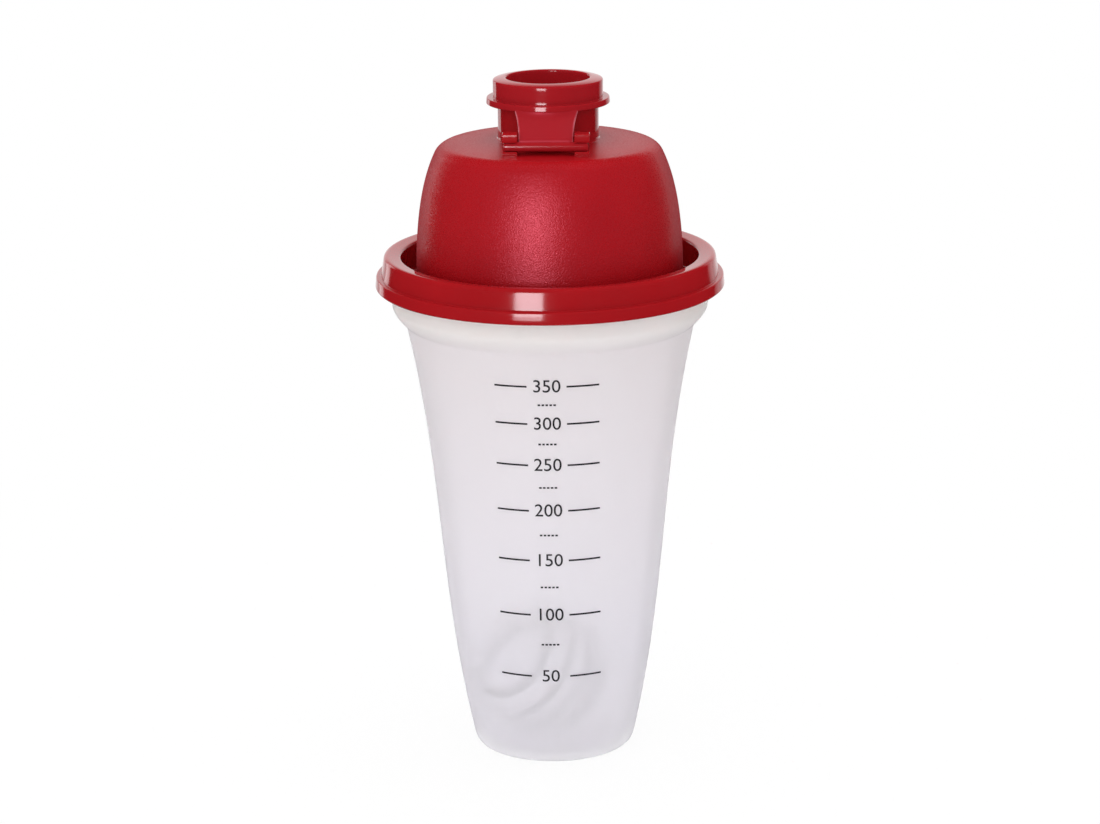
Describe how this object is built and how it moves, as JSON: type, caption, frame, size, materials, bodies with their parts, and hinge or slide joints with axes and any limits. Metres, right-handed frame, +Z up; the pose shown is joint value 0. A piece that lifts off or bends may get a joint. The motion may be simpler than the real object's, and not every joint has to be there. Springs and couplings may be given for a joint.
{
  "type": "batter shaker bottle",
  "caption": "Batter shaker: flared translucent cup with a press-fit domed lid, a pouring neck closed by a hinged flip cap, and a loose ribbed mixing ball inside.",
  "frame": {"origin": "centre of the foot ring on the table", "axes": "+Z up along the bottle's axis, the cap's hinge on the -Y side"},
  "size_m": [0.1008, 0.1008, 0.1994],
  "materials": {
    "milky_plastic": "milky translucent polypropylene, satin",
    "red_satin_plastic": "moulded red plastic, fine matte grain on the dome and polished ring",
    "red_gloss_plastic": "moulded red plastic, smooth",
    "white_plastic": "moulded white plastic, satin"
  },
  "bodies": {
    "cup": {"cup": "milky_plastic"},
    "lid": {"lid": "red_satin_plastic"},
    "flip_cap": {"flip_cap": "red_gloss_plastic"},
    "mixing_ball": {"mixing_ball": "white_plastic"}
  },
  "joints": [
    {"name": "lid_lift", "type": "slide", "parent": "cup", "child": "lid", "axis": [0, 0, 1], "range_m": [0, 0.06]},
    {"name": "cap_flip", "type": "hinge", "parent": "lid", "child": "flip_cap", "pos_m": [0, -0.0222, 0.1834], "axis": [1, 0, 0], "range_deg": [0, 135]},
    {"name": "ball_rise", "type": "slide", "parent": "cup", "child": "mixing_ball", "axis": [0, 0, 1], "range_m": [0, 0.135]}
  ]
}
